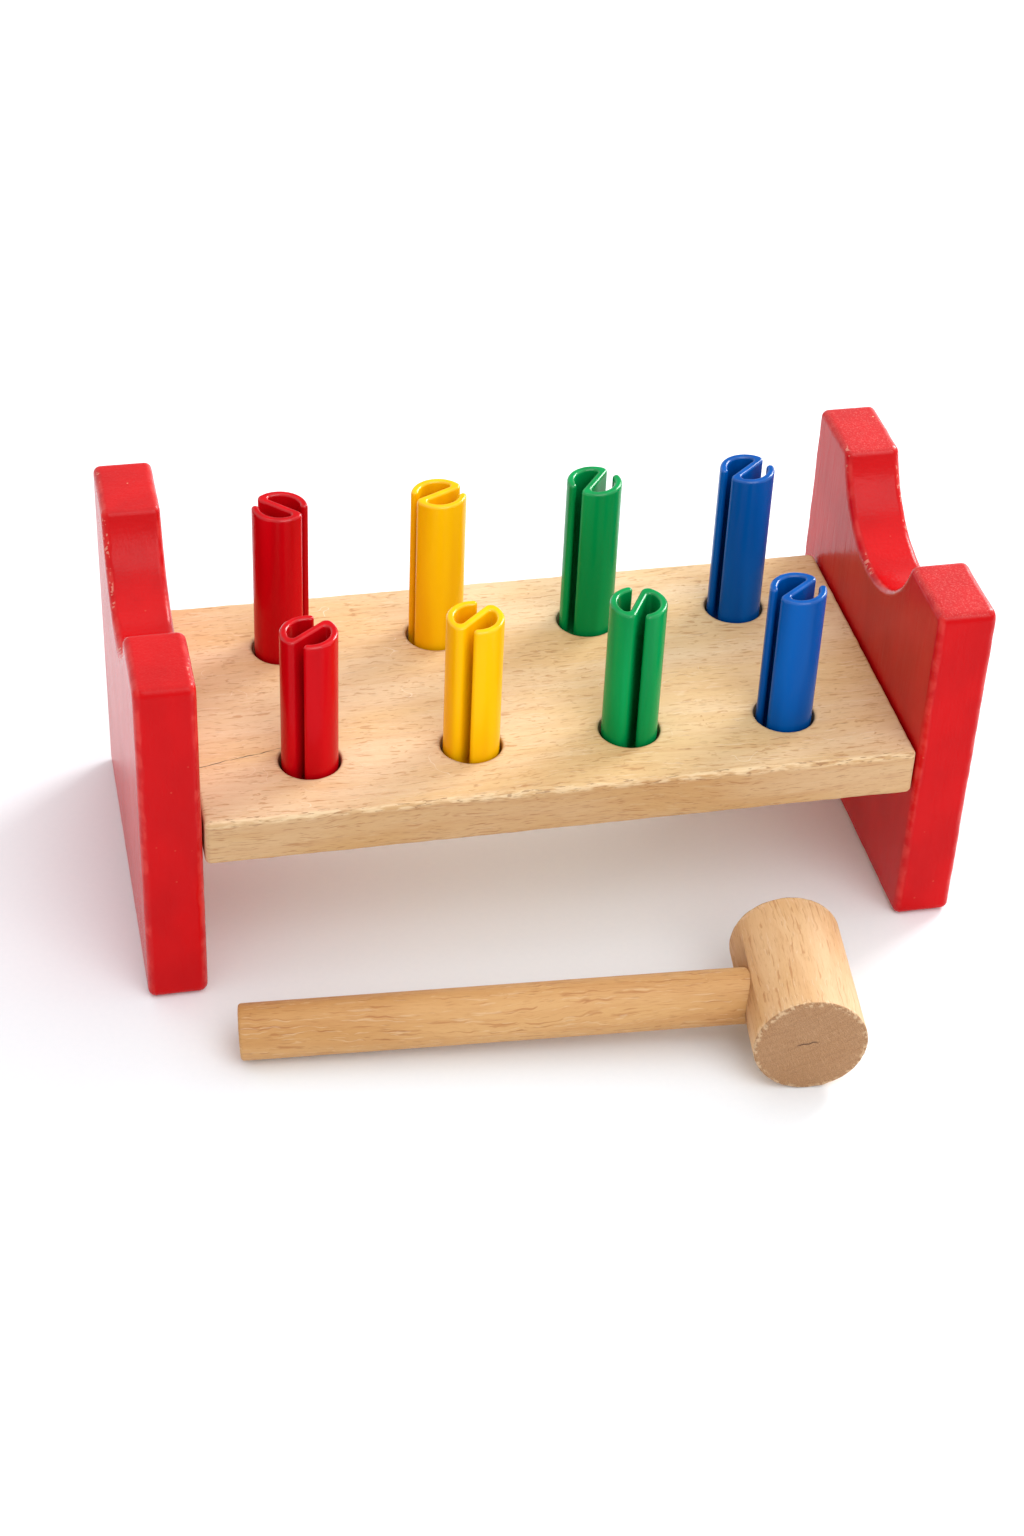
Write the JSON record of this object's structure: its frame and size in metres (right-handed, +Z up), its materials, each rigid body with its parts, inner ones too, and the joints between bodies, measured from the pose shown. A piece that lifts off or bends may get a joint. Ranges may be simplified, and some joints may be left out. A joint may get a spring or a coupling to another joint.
{
  "type": "pounding bench",
  "caption": "Toy pounding bench: red notched end panels carry a drilled beech board with springy S-section plastic pegs, and a wooden mallet lies in front.",
  "frame": {"origin": "on the floor, at the middle of the bottom of the box around the bench and the mallet that lies in front of it; X = 0 is also the middle of the bench", "axes": "+Z up; +X along the bench, to the right for a child who sits in front of it; +Y away from the child, so the mallet lies on the -Y side"},
  "size_m": [0.225, 0.1714, 0.1043],
  "materials": {
    "red_painted_wood": "satin to gloss red paint on wood, lightly worn on the edges",
    "beech_board": "sanded beech, grain along the board",
    "dowel_beech": "plain turned beech dowel, hidden in the joint",
    "mallet_head_beech": "sanded beech, grain along the head, darker end grain",
    "mallet_handle_beech": "sanded beech rod, grain along the handle",
    "red_plastic": "glossy extruded plastic",
    "yellow_plastic": "glossy extruded plastic",
    "green_plastic": "glossy extruded plastic",
    "blue_plastic": "glossy extruded plastic"
  },
  "bodies": {
    "bench": {"left_end_panel": "red_painted_wood", "right_end_panel": "red_painted_wood", "peg_board": "beech_board", "left_front_dowel": "dowel_beech", "left_back_dowel": "dowel_beech", "right_front_dowel": "dowel_beech", "right_back_dowel": "dowel_beech"},
    "red_front_peg": {"red_peg_front": "red_plastic"},
    "yellow_front_peg": {"yellow_peg_front": "yellow_plastic"},
    "green_front_peg": {"green_peg_front": "green_plastic"},
    "blue_front_peg": {"blue_peg_front": "blue_plastic"},
    "red_back_peg": {"red_peg_back": "red_plastic"},
    "yellow_back_peg": {"yellow_peg_back": "yellow_plastic"},
    "green_back_peg": {"green_peg_back": "green_plastic"},
    "blue_back_peg": {"blue_peg_back": "blue_plastic"},
    "mallet": {"mallet_head": "mallet_head_beech", "mallet_handle": "mallet_handle_beech"}
  },
  "joints": [
    {"name": "red_front_peg_slide", "type": "slide", "parent": "bench", "child": "red_front_peg", "axis": [0, 0, 1], "range_m": [-0.0415, 0.0135]},
    {"name": "yellow_front_peg_slide", "type": "slide", "parent": "bench", "child": "yellow_front_peg", "axis": [0, 0, 1], "range_m": [-0.0415, 0.0135]},
    {"name": "green_front_peg_slide", "type": "slide", "parent": "bench", "child": "green_front_peg", "axis": [0, 0, 1], "range_m": [-0.0415, 0.0135]},
    {"name": "blue_front_peg_slide", "type": "slide", "parent": "bench", "child": "blue_front_peg", "axis": [0, 0, 1], "range_m": [-0.0415, 0.0135]},
    {"name": "red_back_peg_slide", "type": "slide", "parent": "bench", "child": "red_back_peg", "axis": [0, 0, 1], "range_m": [-0.0465, 0.0085]},
    {"name": "yellow_back_peg_slide", "type": "slide", "parent": "bench", "child": "yellow_back_peg", "axis": [0, 0, 1], "range_m": [-0.0465, 0.0085]},
    {"name": "green_back_peg_slide", "type": "slide", "parent": "bench", "child": "green_back_peg", "axis": [0, 0, 1], "range_m": [-0.0465, 0.0085]},
    {"name": "blue_back_peg_slide", "type": "slide", "parent": "bench", "child": "blue_back_peg", "axis": [0, 0, 1], "range_m": [-0.0465, 0.0085]},
    {"name": "mallet_lift", "type": "slide", "parent": "bench", "child": "mallet", "axis": [0, 0, 1], "range_m": [0, 0.15]}
  ]
}
